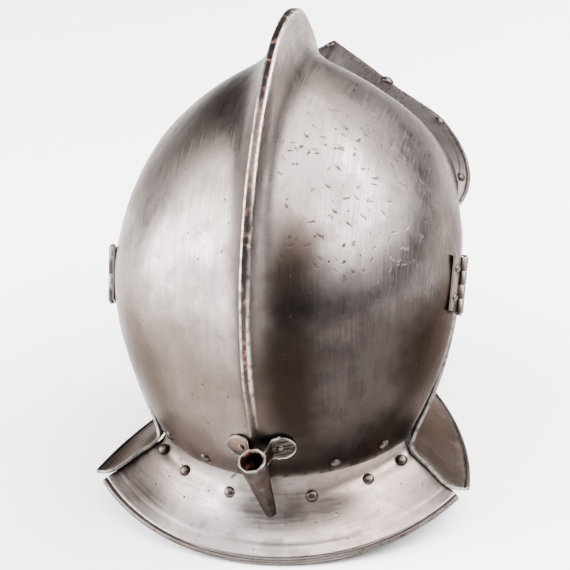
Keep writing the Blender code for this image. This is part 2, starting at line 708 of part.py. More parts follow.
both = {side: [skull, neckPlate] for side, _ in SIDES}
rivetPairs("hem", HEM_RIVETS, both, HEM_HEAD, rivetSteel)
rivetPairs("neck", NECK_RIVETS, {side: [neckPlate] for side, _ in SIDES}, HEM_HEAD, rivetSteel)
rivetPairs("peak", PEAK_RIVETS, {side: [skull] for side, _ in SIDES}, PEAK_HEAD, rivetSteel)
rivetPairs("flange", FLANGE_RIVETS, {s: [cheeks[s]] for s, _ in SIDES}, HEM_HEAD, rivetSteel)
ears = {side: [holder, skull] for side, _ in SIDES}
rivetPairs("ear", [EAR_MIDDLE], ears, SMALL_HEAD, rivetSteel)
for side, word in SIDES:
    buildHinge(side, word, skull, cheeks[side], hingeSteel)
for plate in list(parts.objects):
    drillHoles(plate, drillsOf.get(plate.name))
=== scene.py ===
import json
import math

import bmesh
import bpy
import numpy as np
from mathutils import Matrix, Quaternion, Vector

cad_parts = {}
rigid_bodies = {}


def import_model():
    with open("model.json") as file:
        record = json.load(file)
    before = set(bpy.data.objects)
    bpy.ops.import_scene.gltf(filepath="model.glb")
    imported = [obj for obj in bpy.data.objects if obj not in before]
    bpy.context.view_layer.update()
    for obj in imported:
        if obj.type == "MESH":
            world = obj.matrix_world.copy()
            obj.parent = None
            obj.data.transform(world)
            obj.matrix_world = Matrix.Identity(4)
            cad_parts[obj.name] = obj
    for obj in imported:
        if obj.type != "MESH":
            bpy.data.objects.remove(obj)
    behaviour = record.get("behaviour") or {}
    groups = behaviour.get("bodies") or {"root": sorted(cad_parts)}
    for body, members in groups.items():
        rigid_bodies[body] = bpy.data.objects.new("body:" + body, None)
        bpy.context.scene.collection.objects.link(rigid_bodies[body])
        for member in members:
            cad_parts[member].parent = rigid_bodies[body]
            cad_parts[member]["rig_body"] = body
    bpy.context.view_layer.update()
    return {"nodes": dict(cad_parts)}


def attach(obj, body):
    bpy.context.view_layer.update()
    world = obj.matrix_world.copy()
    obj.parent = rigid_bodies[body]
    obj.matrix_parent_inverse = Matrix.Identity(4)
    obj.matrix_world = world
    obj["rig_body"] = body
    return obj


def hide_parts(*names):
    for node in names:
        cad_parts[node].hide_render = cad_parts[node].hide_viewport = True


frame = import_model()
nodes = frame["nodes"]
join = np.concatenate
print("frame loaded:", len(nodes), "nodes")

# curves of the plates, in metres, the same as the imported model's sections

plates = {
    "sheet": 0.0018,  # thickness of the steel
    "lap": 0.0008,  # air between the skull and the neck plate lapped inside it
    "middle": (0.0, 0.0270, 0.1200),  # a point inside the head, to tell outward from inward
    "innerMarks": 0.4,  # strength of the wear marks on the inside
}
comb = {
    "half": 0.0018,  # half the crest's flat width
    "wall": 0.70,  # share of the height that falls away steeply
    "wallSpread": 0.0048,
    "footSpread": 0.0160,
    "lean": -0.0420,  # sideways lean per metre of height
    "plumb": 0.1420,  # height at which it stands on the middle line
    "lowest": 0.0012,  # comb height from which it leans in full
    "lowered": 0.0010,  # the top is lowered by up to half of this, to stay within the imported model
    "loweredFrom": 0.19,  # height above which it is
}
seam = [  # edge between the skull and a cheek-piece, nape to temple: x, y, z
    (0.0735, 0.0757, 0.0446),
    (0.0857, 0.0664, 0.0675),
    (0.0949, 0.0568, 0.0889),
    (0.1003, 0.0472, 0.1102),
    (0.1020, 0.0368, 0.1277),
    (0.1020, 0.0211, 0.1393),
    (0.0998, -0.0001, 0.1475),
    (0.0941, -0.0249, 0.1500),
]
skullSections = [  # middle y, middle z, comb height, place along the seam, sweep in degrees, power
    (0.1211, 0.0446, 0.0012, 0.00, 62, 1.92),
    (0.1284, 0.0621, 0.0018, 0.16, 66, 1.94),
    (0.1336, 0.0849, 0.0034, 0.33, 72, 2.00),
    (0.1363, 0.1079, 0.0072, 0.47, 78, 2.00),
    (0.1370, 0.1300, 0.0122, 0.58, 84, 1.94),
    (0.1303, 0.1669, 0.0181, 0.66, 88, 1.81),
    (0.1061, 0.2081, 0.0259, 0.72, 90, 1.67),
    (0.0673, 0.2374, 0.0321, 0.78, 90, 1.60),
    (0.0270, 0.2466, 0.0385, 0.84, 90, 1.60),
    (-0.0148, 0.2424, 0.0338, 0.89, 90, 1.67),
    (-0.0528, 0.2248, 0.0190, 0.94, 90, 1.78),
    (-0.0820, 0.1965, 0.0090, 1.00, 90, 1.88),
]
peakRim = [  # from the peak's point round to the temple: x, y, z
    (0.0000, -0.1542, 0.1919),
    (0.0225, -0.1358, 0.1856),
    (0.0445, -0.1165, 0.1790),
    (0.0622, -0.1030, 0.1745),
    (0.0762, -0.0915, 0.1706),
    (0.0872, -0.0770, 0.1656),
    (0.0952, -0.0620, 0.1605),
    (0.0996, -0.0480, 0.1558),
    (0.1002, -0.0350, 0.1512),
    (0.0977, -0.0240, 0.1474),
]
neckSections = [  # middle y, middle z, comb height, end x, y, z, sweep in degrees, power
    (0.1212, 0.0345, 0.0, 0.0745, 0.0745, 0.0362, 61, 1.95),
    (0.1300, 0.0185, 0.0, 0.0895, 0.0850, 0.0290, 58, 2.00),
    (0.1483, 0.0010, 0.0, 0.1078, 0.1005, 0.0212, 56, 2.00),
]
cheekSections = [  # place along the seam, gap, stand, face edge x, y, z, bulge
    (1.00, 0.0060, 0.0000, 0.0890, -0.0400, 0.1385, 0.0010),
    (0.93, 0.0042, 0.0000, 0.0860, -0.0470, 0.1310, 0.0020),
    (0.80, 0.0022, 0.0000, 0.0820, -0.0530, 0.1215, 0.0035),
    (0.62, 0.0013, 0.0000, 0.0770, -0.0580, 0.1090, 0.0055),
    (0.45, 0.0015, 0.0002, 0.0710, -0.0630, 0.0920, 0.0080),
    (0.28, 0.0024, 0.0014, 0.0620, -0.0700, 0.0710, 0.0080),
    (0.12, 0.0034, 0.0030, 0.0470, -0.0790, 0.0500, 0.0070),
    (0.02, 0.0022, 0.0040, 0.0345, -0.0850, 0.0390, 0.0070),
]
flangeSections = [  # place down the neck plate's end, lap, lift, face edge x, y, z, bulge
    (0.06, 0.0018, 0.0036, 0.0315, -0.0885, 0.0295, 0.0080),
    (0.45, 0.0020, 0.0038, 0.0275, -0.0960, 0.0160, 0.0130),
    (0.84, 0.0012, 0.0040, 0.0255, -0.1010, 0.0080, 0.0165),
]
flangeRim = (0.1130, 0.0945, 0.0233, 0.0240, -0.1040, 0.0002, 0.0182)  # rear x, y, z, face x, y, z, bulge


def unit(vectors):
    return vectors / np.linalg.norm(vectors, axis=-1, keepdims=True)


def bell(distance, half):
    # 1 at no distance, then exp(-(d/half)^2)
    return np.exp(-((distance / half) ** 2))


def lineAt(line, places, at):
    # a line of points read between their places
    return np.stack([np.interp(at, places, line[:, i]) for i in range(3)], axis=1)


def turned(grid):
    # the grid with its rows and columns exchanged
    return grid.transpose(1, 0, 2)


def through(table, places):
    # Hermite curve through the rows: P = P0(1-b) + P1 b + S0(t3-2t2+t) + S1(t3-t2), b = 3t2-2t3
    rows = np.array(table, dtype=float)
    slopes = np.gradient(rows, axis=0)
    low = np.clip(np.floor(places).astype(int), 0, len(rows) - 2)
    t = (np.asarray(places) - low).reshape(-1, *[1] * (rows.ndim - 1))
    b = 3 * t**2 - 2 * t**3
    curve = rows[low] * (1 - b) + rows[low + 1] * b
    return curve + slopes[low] * (t**3 - 2 * t**2 + t) + slopes[low + 1] * (t**3 - t**2)


def nearCrest(x):
    # share of the comb's height: 0.7 exp(-a/4.8 mm) + 0.3 exp(-a/16 mm), a = distance off the crest
    away = np.maximum(np.abs(x) - comb["half"], 0)
    foot = (1 - comb["wall"]) * np.exp(-away / comb["footSpread"])
    return comb["wall"] * np.exp(-away / comb["wallSpread"]) + foot


def sections(rows, near, sideCount):
    # superellipse arcs, all at once: x = end sin(a)^(2/p), y and z go with cos(a)^(2/p);
    # the first columns lie at set distances from the middle, the rest at even angles
    sweep, power = np.radians(rows[:, 6:7]), 2 / rows[:, 7:8]
    widest = np.sin(sweep) ** power
    angles = np.arcsin(np.clip(near[None, :] * widest / rows[:, 3:4], 0, 1) ** (1 / power))
    steps = np.linspace(0, 1, sideCount + 1)[None, 1:]
    angles = join([angles, angles[:, -1:] + (sweep - angles[:, -1:]) * steps], axis=1)
    last = np.sign(np.cos(sweep)) * np.abs(np.cos(sweep)) ** power
    inward = (np.sign(np.cos(angles)) * np.abs(np.cos(angles)) ** power - last) / (1 - last)
    x = rows[:, 3:4] * np.sin(angles) ** power / widest
    y = rows[:, 4:5] + (rows[:, 0:1] - rows[:, 4:5]) * inward
    z = rows[:, 5:6] + (rows[:, 1:2] - rows[:, 5:6]) * inward
    x[:, 0] = 0
    along = unit(np.gradient(rows[:, :2], axis=0))
    lift = rows[:, 2:3] * nearCrest(x)
    return np.stack([x, y + lift * along[:, 1:2], z - lift * along[:, 0:1]], axis=2)


def normalsOf(grid):
    # unit cross product of the two ways along the grid, outward in its first row
    normals = np.cross(np.gradient(grid, axis=0), np.gradient(grid, axis=1))
    normals /= np.maximum(np.linalg.norm(normals, axis=2), 1e-12)[..., None]
    return normals * np.sign(np.sum(normals[0] * (grid[0] - plates["middle"])))


def bothSides(grid):
    return join([grid[:, :0:-1] * np.array([-1, 1, 1]), grid], axis=1)


def lengthsDown(grid):
    # distance down each column from its first row
    steps = np.linalg.norm(np.diff(grid, axis=0), axis=2)
    return join([np.zeros((1, grid.shape[1])), np.cumsum(steps, axis=0)])


def pointsAt(grid, lengths):
    # points of each column at given distances down it: P = A + (B - A)(d - a)/(b - a)
    along = lengthsDown(grid)
    low = np.clip((along[None] <= lengths[:, None]).sum(axis=1) - 1, 0, len(grid) - 2)
    before, after = (np.take_along_axis(along, low + i, 0) for i in (0, 1))
    start, end = (np.take_along_axis(grid, (low + i)[..., None], 0) for i in (0, 1))
    return start + (end - start) * ((lengths - before) / (after - before))[..., None]


def towardsRim(grid, fromRim, others, longest):
    # the grid again, its last rows at set distances from its rim, less in a short column
    total = lengthsDown(grid)[-1]
    fromRim = np.array(fromRim)[::-1, None] * np.minimum(1, total / longest)
    body = np.linspace(0, 1, others, endpoint=False)[:, None] * (total - fromRim[0])
    return pointsAt(grid, join([body, total - fromRim]))


def lengthAlong(line):
    return lengthsDown(line[:, None])[:, 0]


def fromEnd(grid):
    # distance of each point from the rim, measured down its column
    down = lengthsDown(grid)
    return down[-1] - down + rimRows[0]


# meshes

beaten = {  # hand-beaten unevenness: shortest and longest wave, height, seed
    "bowl": ((0.030, 0.075), 0.00022, 3),
    "hammer": ((0.010, 0.018), 0.00003, 4),  # the bowl again, finer
    "neck": ((0.025, 0.060), 0.00022, 11),
    "left": ((0.025, 0.060), 0.00022, 22),
    "right": ((0.025, 0.060), 0.00022, 20),
}
rounding = {
    "sharp": 42,  # degrees: sharper folds are drawn hard
    "hingeSharp": 40,
    "bevelled": 50,  # degrees: sharper edges are rounded off
    "plate": 0.00028,  # widths of the rounding
    "hinge": 0.00022,
    "saddle": 0.00025,
}
rope = {
    "strands": 5,
    "pitch": 0.0020,
    "depth": 0.24,
    "ring": 0.00034,  # distance between its rings of points
    "plump": 0.7,  # power that fills the strands out
    "worn": (0.35, 210, 83),  # how unevenly it is worn: share, two waves in radians per metre
}
plainRoll = {"ring": 0.0012}  # an edge rolled without strands
tubeSides = 18


def wavy(points, lengths, height, seed):
    # 14 sine waves of seeded directions and lengths, their mean raised threefold
    chance = np.random.default_rng(seed)
    ways = unit(chance.normal(size=(14, 3)))
    waves = ways * (2 * np.pi / chance.uniform(*lengths, size=14))[:, None]
    phases = chance.uniform(0, 2 * np.pi, size=14)
    return height * np.sin(points @ waves.T + phases).mean(axis=-1) * 3


def placed(name, data):
    thing = bpy.data.objects.new(name, data)
    bpy.context.scene.collection.objects.link(thing)
    return thing


def meshObject(name, points, faces, uv=None, marks=None):
    mesh = bpy.data.meshes.new(name)
    mesh.vertices.add(len(points))
    mesh.vertices.foreach_set("co", np.asarray(points, np.float32).ravel())
    sizes = join([np.full(len(group), group.shape[1]) for group in faces])
    corners = join([group.ravel() for group in faces])
    mesh.loops.add(len(corners))
    mesh.loops.foreach_set("vertex_index", corners.astype(np.int32))
    mesh.polygons.add(len(sizes))
    starts = join([[0], np.cumsum(sizes)[:-1]])
    mesh.polygons.foreach_set("loop_start", starts.astype(np.int32))
    mesh.update(calc_edges=True)
    if uv is not None:
        layer = mesh.uv_layers.new(name="lie")
        layer.data.foreach_set("uv", uv[corners].astype(np.float32).ravel())
    for key, values in (marks or {}).items():
        mark = mesh.attributes.new(key, "FLOAT", "POINT")
        mark.data.foreach_set("value", values.astype(np.float32).ravel())
    mesh.validate()
    mesh.shade_smooth()
    mesh.set_sharp_from_angle(angle=math.radians(rounding["sharp"]))
    return placed(name, mesh)


def softEdges(thing, width):
    bevel = thing.modifiers.new("edges", "BEVEL")
    bevel.width = width
    bevel.segments = 2
    bevel.limit_method = "ANGLE"
    bevel.angle_limit = math.radians(rounding["bevelled"])
    return thing


def numbered(rows, columns):
    return np.arange(rows * columns).reshape(rows, columns)


def gridFaces(index):
    return np.stack([index[:-1, :-1], index[:-1, 1:], index[1:, 1:], index[1:, :-1]], axis=2).reshape(-1, 4)


def ringFaces(index):
    # the last column joins the first
    return gridFaces(join([index, index[:, :1]], axis=1))


def sheetFaces(index):
    # a closed sheet, its inner points numbered on from the outer ones: outside, inside, walls
    count = index.size
    edge = join([index[0, :-1], index[:-1, -1], index[-1, :0:-1], index[:0:-1, 0]])
    onward = np.roll(edge, -1)
    wall = np.stack([edge, edge + count, onward + count, onward], axis=1)
    return [gridFaces(index), gridFaces(index)[:, ::-1] + count, wall]


def plateObject(name, middle, relief, marks):
    # a closed plate: outer = middle + normal (sheet/2 + relief), inner = middle - normal sheet/2
    normals = normalsOf(middle)
    half = plates["sheet"] / 2
    outer = middle + normals * (half + relief)[..., None]
    inner = middle - normals * half
    faces = sheetFaces(numbered(*middle.shape[:2]))
    if np.cross(middle[1, 0] - middle[0, 0], middle[0, 1] - middle[0, 0]) @ normals[0, 0] > 0:
        faces = [group[:, ::-1] for group in faces]
    across = lengthsDown(turned(middle))
    across = across[:, np.argmax(across[-1])]
    down = lengthsDown(middle)[:, middle.shape[1] // 2]
    uv = np.stack(np.meshgrid(across, down), axis=2).reshape(-1, 2)
    faint = plates["innerMarks"]
    both = {key: join([value.ravel(), faint * value.ravel()]) for key, value in marks.items()}
    both["under"] = np.repeat([0.0, 1.0], len(uv))
    points = join([outer.reshape(-1, 3), inner.reshape(-1, 3)])
    plate = meshObject(name, points, faces, join([uv, uv]), both)
    return softEdges(plate, rounding["plate"])


def tubeAlong(name, path, upward, radius, twist=None):
    # P(s, a) = path(s) + r (cos a N + sin a B), a rope's r = R (1 - depth (1 - |cos(n/2 (a - turn s))|^0.7))
    along = lengthAlong(path)
    count = int(along[-1] / (twist or plainRoll)["ring"])
    even = np.linspace(0, along[-1], count)
    path, upward = (lineAt(line, along, even) for line in (path, upward))
    tangent = unit(np.gradient(path, axis=0))
    upward = unit(upward - tangent * np.sum(upward * tangent, axis=1)[:, None])
    aside = np.cross(tangent, upward)
    angles = np.linspace(0, 2 * np.pi, tubeSides, endpoint=False)[None, :]
    size = np.full((count, tubeSides), radius)
    groove = np.zeros((count, tubeSides))
    if twist:
        turns = even[:, None] / (twist["pitch"] * twist["strands"])
        lay = twist["strands"] / 2 * (angles - 2 * np.pi * turns)
        groove = 1 - np.abs(np.cos(lay)) ** twist["plump"]
        share, quick, slow = twist["worn"]
        worn = 1 + share * np.sin(even * quick)[:, None] * np.sin(even * slow + 1)[:, None]
        size = size * (1 - twist["depth"] * groove * worn)
    inward = np.minimum(even, even[-1] - even) / radius
    size = size * np.sqrt(1 - np.clip(1 - inward, 0, 0.96) ** 2)[:, None]  # both ends are rounded off
    ring = np.cos(angles)[..., None] * upward[:, None] + np.sin(angles)[..., None] * aside[:, None]
    points = path[:, None] + size[..., None] * ring
    index = numbered(count, tubeSides)
    uv = np.stack(np.broadcast_arrays(angles * radius, even[:, None]), axis=2).reshape(-1, 2)
    faces = [ringFaces(index)[:, ::-1], index[:1], index[-1:, ::-1]]
    # the grooves between the strands are darkened: dirt and painted shade
    tube = meshObject(name, points.reshape(-1, 3), faces, uv, {"grime": groove})
    tube.data.shade_smooth()
    return tube


# the plates' middle surfaces, fine

# distances of the last rows from a rim
rimRows = [0.0012, 0.0018, 0.0024, 0.0030, 0.0033, 0.0036, 0.0039, 0.0042, 0.0046, 0.0052, 0.0062]
rimRows += [0.0074, 0.0084, 0.0090, 0.0094, 0.0098, 0.0102, 0.0106, 0.0112, 0.0122, 0.0140, 0.0170]
border = {
    "step": 0.0096,  # how far in from the rim the sunk border ends
    "neckStep": 0.0118,
    "stepHalf": 0.0008,
    "sunk": 0.00016,
    "ridge": 0.00004,  # burr along the step, and half its width
    "ridgeHalf": 0.0006,
    "groove": 0.0036,  # line cut just inside the rope
    "grooveDepth": 0.00030,
    "grooveHalf": 0.00045,
    "ropeInset": 0.0016,
    "ropeRadius": 0.0016,
    "edgeReach": 0.0018,  # how far in from an edge the steel is rubbed bright
    "wholeDepth": 0.024,  # columns shorter than this have their rim rows drawn together
    "faceRows": 13,  # rows along a cheek-piece's face edge, and their column length
    "faceDepth": 0.012,
}
fine = {  # numbers of rows and columns
    "skull": (150, 58),
    "peakRim": 300,
    "peakRows": 34,
    "peakBody": 16,
    "neck": (200, 46),
    "neckBody": 40,
    "flare": 6,
    "cheek": (220, 90),
    "cheekBody": (96, 52),
}
crestColumns = ((0, 0.0016, 5), (0.0018, 0.0029, 6), (0.0034, 0.0300, 36))  # close set over the comb
fold = {"reach": 14, "times": 12, "cut": 11}  # rows rounded at the brow, how often, rows kept past it
lapPlaces = (0.80, 0.40, 0.00)  # rows of the skull that the neck plate's lap lies under
cheekTip = -0.27  # how far the cheek-pieces' bulge is tipped down


def borderRelief(distance, step=border["step"]):
    # relief near a rim: -groove bell(d - g) - sunk smoothstep(step - d) + ridge bell(d - step)
    groove = border["grooveDepth"] * bell(distance - border["groove"], border["grooveHalf"])
    t = np.clip((step + border["stepHalf"] - distance) / (2 * border["stepHalf"]), 0, 1)
    ridge = border["ridge"] * bell(distance - step - border["ridgeHalf"], border["ridgeHalf"])
    return ridge - groove - border["sunk"] * t * t * (3 - 2 * t)


def ropeLineOf(grid):
    # where a rim's rope runs, a little inside the grid's last row
    return pointsAt(grid, lengthsDown(grid)[-1:] - border["ropeInset"])


def edgeMark(grid):
    # 1 on the plate's edges, falling off inward
    down = lengthsDown(grid)
    across = lengthsDown(turned(grid)).T
    near = np.minimum.reduce([down, down[-1] - down, across, across[:, -1:] - across])
    return np.exp(-near / border["edgeReach"])


def crownAndPeak():
    # the bowl's half from nape to brow, then straight lines from the brow to the peak's rim
    near = join([np.linspace(*stretch) for stretch in crestColumns])
    rowCount, sideCount = fine["skull"]
    rows = through(skullSections, np.linspace(0, len(skullSections) - 1, rowCount))
    edge = through(seam, rows[:, 3] * (len(seam) - 1))
    rows = np.column_stack([rows[:, :3], edge, rows[:, 4:]])
    crown = sections(rows, near, sideCount)
    brow = crown[-1]
    rim = through(peakRim, np.linspace(0, len(peakRim) - 1, fine["peakRim"]))
    shares = [lengthAlong(line) / lengthAlong(line)[-1] for line in (brow, rim)]
    ends = lineAt(rim, shares[1], shares[0])
    out = np.linspace(0, 1, fine["peakRows"])[:, None, None]
    peak = brow + (ends - brow) * out
    grid = join([crown, peak[1:]])
    heights = join([rows[:, 2], rows[-1, 2] * (1 - out[1:, 0, 0])])[:, None]
    return grid, np.broadcast_to(heights, grid.shape[:2]), len(crown) - 1


def leanComb(grid, heights):
    # x += lean (z - plumb) near-crest share, where the comb stands up; the top is lowered a little
    standing = np.clip(heights / comb["lowest"], 0, 1)
    grid[..., 0] += comb["lean"] * (grid[..., 2] - comb["plumb"]) * nearCrest(grid[..., 0]) * standing
    grid[..., 2] -= comb["lowered"] * np.clip(grid[..., 2] / comb["loweredFrom"] - 1, 0, 1)
    return grid


def roundFold(grid, row):
    # rounds the fold at a row by averaging each point with its neighbours, over and over
    low, high = row - fold["reach"], row + fold["reach"]
    part = grid[low:high].copy()
    for _ in range(fold["times"]):
        part[1:-1] = (part[:-2] + 2 * part[1:-1] + part[2:]) / 4
    grid[low:high] = part
    return grid


def neckBand(near, sideCount):
    # lap inside the hem, offset inward by sheet + gap, then the flare
    lap = through(skullSections, np.array(lapPlaces))
    edge = through(seam, lap[:, 3] * (len(seam) - 1))
    lap = np.column_stack([lap[:, :2], 0 * lap[:, 2], edge, lap[:, 4:]])
    lap = sections(lap, near, sideCount)
    lap = lap - normalsOf(lap) * (plates["sheet"] + plates["lap"])
    lap[:, 0, 0] = 0
    places = np.linspace(0, len(neckSections) - 1, fine["flare"])
    return join([lap, sections(through(neckSections, places), near, sideCount)])


def cheekTable():
    # rows down the seam, over the neck plate's end and along the flange's rim: rear, face edge, bulge
    places = np.array([row[0] for row in cheekSections]) * (len(seam) - 1)
    rear = through(seam, places)
    along = through(seam, places + 0.05) - through(seam, places - 0.05)
    inFront = unit(np.column_stack([np.zeros(len(along)), -along[:, 2], along[:, 1]]))
    table = np.array(cheekSections)
    rear[:, 0] += table[:, 2]
    upper = np.column_stack([rear + inFront * table[:, 1:2], table[:, 3:]])
    band = neckBand(np.array([0.0, 0.0150, 0.0300]), 8)
    ends = join([band, normalsOf(band)], axis=2)[len(lapPlaces) :, -2:]
    over = []
    for place, lap, lift, *face in flangeSections:
        inner, end = [through(ends[:, side], np.array([place * (len(ends) - 1)]))[0] for side in (0, 1)]
        onward = unit(inner[:3] - end[:3])
        over.append([*(end[:3] + onward * lap + end[3:] * lift), *face])
    return join([upper, over, [flangeRim]])


def cheekSurface():
    # rear + chord t + outward bulge 4t(1-t), outward tipped down
    table = cheekTable()
    rowCount, columnCount = fine["cheek"]
    rows = through(table, np.linspace(0, len(table) - 1, rowCount))[:, None, :]
    t = np.linspace(0, 1, columnCount)[None, :, None]
    rear, bulge = rows[..., :3], rows[..., 6:]
    chord = rows[..., 3:6] - rear
    out = unit(np.stack([-chord[..., 1], chord[..., 0], 0 * chord[..., 0]], axis=-1))
    out[..., 2] = cheekTip
    return rear + chord * t + out * bulge * 4 * t * (1 - t)


# rivets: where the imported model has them

rivetLook = {
    "sides": 26,
    "seed": 5,
    "fuller": 1.05,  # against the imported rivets' heads
    "hingeFuller": 1.35,
    "rise": 0.56,  # height of a dome as a share of its radius
    "curve": (2.6, 0.75),  # powers of its profile
    "uneven": 0.025,
    "tilt": 0.06,
    "nearby": 0.006,  # reach of the plates' points that seat a dome
}


def nodePoints(name):
    mesh = nodes[name].data
    points = np.empty(len(mesh.vertices) * 3, np.float32)
    mesh.vertices.foreach_get("co", points)
    return np.unique(points.reshape(-1, 3).round(6), axis=0).astype(float)


def offAxis(points, middle, axis):
    # heights of points along an axis, and their distances from it
    heights = (points - middle) @ axis
    return heights, np.linalg.norm(points - middle - heights[:, None] * axis, axis=1)


def rivetProfile(radius, base, low):
    # distances off the axis and heights: a dome h = rise R (1 - r^2.6)^0.75, a shank, a peened tail
    dome = np.linspace(0.06, 1, 9)
    power, root = rivetLook["curve"]
    across = [*(dome * radius), *(radius * share for share in (0.97, 0.45, 0.45, 0.80, 0.66, 0.05))]
    height = [*(base + rivetLook["rise"] * radius * (1 - dome**power) ** root), base - 0.0005, base - 0.0005]
    height += [low + 0.0008, low + 0.0008, low + 0.0001, low]
    return np.array(across)[:, None], np.array(height)[:, None]


def rivetsObject(name, members):
    # one mesh of domes, each a little out of round and tilted
    chance = np.random.default_rng(rivetLook["seed"])
    angles = np.linspace(0, 2 * np.pi, rivetLook["sides"], endpoint=False)
    allPoints, faces, grime, count = [], [], [], 0
    for member in members:
        points = nodePoints(member)
        middle = points.mean(axis=0)
        away = np.linalg.norm(platePoints - middle, axis=1)
        axis = plateNormals[np.argmin(away)]  # square to the plates at the nearest place on them
        heights, radii = offAxis(points, middle, axis)
        radius = np.sort(radii)[-8:].mean() * rivetLook["hingeFuller" if "hinge" in member else "fuller"]
        lifts, aside = offAxis(platePoints[away < rivetLook["nearby"]], middle, axis)
        seat = lifts[aside < radius * 0.8].max() + plates["sheet"] / 2
        base = max(heights.max() - rivetLook["rise"] * radius, seat)
        across, height = rivetProfile(radius, base, heights.min())
        first = unit(np.cross(axis, [0.3, 0.2, 0.9]))
        second = np.cross(axis, first)
        bumps = sum(chance.normal() * np.sin(k * angles + chance.uniform(0, 6.3)) / k for k in (1, 2, 3, 4))
        spread = 1 + rivetLook["uneven"] * bumps
        tilt = chance.normal(size=2) * rivetLook["tilt"]
        ring = np.cos(angles)[:, None] * first + np.sin(angles)[:, None] * second
        slope = (np.cos(angles) * tilt[0] + np.sin(angles) * tilt[1])[None] * across * (height > base)
        solid = middle + (across * spread)[..., None] * ring[None] + (height + slope)[..., None] * axis
        index = numbered(*solid.shape[:2]) + count
        faces.append((ringFaces(index), index[:1], index[-1:, ::-1]))
        allPoints.append(solid.reshape(-1, 3))
        # darker toward the dome's foot: dirt and painted shade
        grime.append(np.repeat(np.clip((across[:, 0] / radius) ** 3, 0, 1), len(angles)))
        count += index.size
    faces = [join([group[i] for group in faces]) for i in range(3)]
    rivets = meshObject(name, join(allPoints), faces, None, {"grime": join(grime)})
    outward(rivets)
    return rivets


def outward(thing):
    # turns every face outward
    shape = bmesh.new()
    shape.from_mesh(thing.data)
    bmesh.ops.recalc_face_normals(shape, faces=shape.faces)
    shape.to_mesh(thing.data)
    shape.free()


# the plates

skullHalf, combHeight, foldRow = crownAndPeak()
cut = foldRow + fold["cut"]
skullHalf = roundFold(skullHalf, foldRow)
peakPart = towardsRim(skullHalf[cut:], rimRows, fine["peakBody"], border["wholeDepth"])
fadeOut = np.linspace(1, 0, len(peakPart))[:, None] * combHeight[cut]
combHeight = join([combHeight[:cut], fadeOut])
skullFine = bothSides(join([skullHalf[:cut], peakPart]))
combHeight = join([combHeight[:, :0:-1], combHeight], axis=1)
offCrest = np.abs(skullFine[..., 0])
skullFine = leanComb(skullFine, combHeight)
ropeLine = leanComb(bothSides(ropeLineOf(skullHalf)), 0)[0]
fromRim = fromEnd(skullFine)
skullRelief = borderRelief(fromRim) + wavy(skullFine, *beaten["bowl"])
skullRelief += wavy(skullFine, *beaten["hammer"]) * np.clip((fromRim - 0.012) / 0.01, 0, 1)
tall = np.clip(combHeight / 0.014, 0, 1) ** 1.5
skullMarks = {
    # plate edges rubbed bright, and bright lines down both sides of the crest: wear, partly painted
    # highlight
    "edge": np.maximum(edgeMark(skullFine), bell(offCrest - comb["half"], 0.0005) * tall),
    "crest": bell(np.maximum(offCrest - comb["half"], 0), 0.0010) * tall,
    # a dark line in the groove inside the rope: dirt and painted shade
    "grime": bell(fromRim - border["groove"], 0.0007),
}
skull = plateObject("skull_plate", skullFine, skullRelief, skullMarks)
skullNormals = normalsOf(skullFine)
print("skull:", len(skull.data.polygons), "faces")

skullRope = tubeAlong("peak_rope", ropeLine, skullNormals[-1], border["ropeRadius"], rope)

rowCount, sideCount = fine["neck"]
neckFine = neckBand(np.linspace(0, 0.0300, 18), sideCount)
neckFine = through(neckFine, np.linspace(0, len(neckFine) - 1, rowCount))
fullLine = bothSides(ropeLineOf(neckFine))[0]
neckFine = bothSides(towardsRim(neckFine, rimRows, fine["neckBody"], border["wholeDepth"]))
fromRim = fromEnd(neckFine)
neckRelief = borderRelief(fromRim, border["neckStep"]) + wavy(neckFine, *beaten["neck"])
hemShade = bell(lengthsDown(neckFine) - 0.016, 0.004)  # painted shade along the skull's hem, where the neck plate goes in under it
neckMarks = {
    "edge": edgeMark(neckFine),
    "grime": np.maximum(bell(fromRim - border["groove"], 0.0008), hemShade),
}
neck = plateObject("neck_plate_fine", neckFine, neckRelief, neckMarks)
neckRope = tubeAlong("neck_rope", fullLine, normalsOf(neckFine)[-1], border["ropeRadius"] * 1.05, rope)
print("neck plate:", len(neck.data.polygons), "faces")

cheeks, cheekFine = {}, []
for side, word in ((1, "left"), (-1, "right")):
    surface = cheekSurface() * np.array([side, 1, 1])
    lines = [ropeLineOf(grid)[0] for grid in (surface, turned(surface))]
    bodyRows, bodyColumns = fine["cheekBody"]
    surface = towardsRim(surface, rimRows, bodyRows, border["wholeDepth"])
    faceRows = rimRows[: border["faceRows"]]
    surface = turned(towardsRim(turned(surface), faceRows, bodyColumns, border["faceDepth"]))
    fromFlange, fromFace = fromEnd(surface), fromEnd(turned(surface)).T
    relief = borderRelief(fromFlange) * np.clip((fromFace - 0.003) / 0.003, 0, 1)
    relief += wavy(surface, *beaten[word])
    relief -= border["grooveDepth"] * bell(fromFace - border["groove"], border["grooveHalf"])
    # a dark line in the groove inside the flange's rope: dirt and painted shade
    marks = {"edge": edgeMark(surface), "grime": bell(fromFlange - border["groove"], 0.0008)}
    pieces = [plateObject(f"cheek_plate_{word}", surface, relief, marks)]
    normals = normalsOf(surface)
    rims = [("flange_rope", lines[0][:-1], normals[-1], rope), ("face_roll", lines[1], normals[:, -1], None)]
    for name, line, upward, twist in rims:
        upward = lineAt(upward, np.linspace(0, 1, len(upward)), np.linspace(0, 1, len(line)))
        pieces.append(tubeAlong(f"{name}_{word}", line, upward, border["ropeRadius"], twist))
    cheekFine.append(surface)
    cheeks[word] = pieces
print("cheek-pieces done")

surfaces = [skullFine, neckFine, *cheekFine]
platePoints = join([grid.reshape(-1, 3) for grid in surfaces])
plateNormals = join([normalsOf(grid).reshape(-1, 3) for grid in surfaces])
groups, rivets = {}, {}
for body in ("helmet", "left_cheek", "right_cheek"):
    name = body + "_rivets"
    groups[name] = [n for n in nodes if "rivet" in n and nodes[n]["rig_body"] == body]
    rivets[name] = rivetsObject(name, sorted(groups[name]))


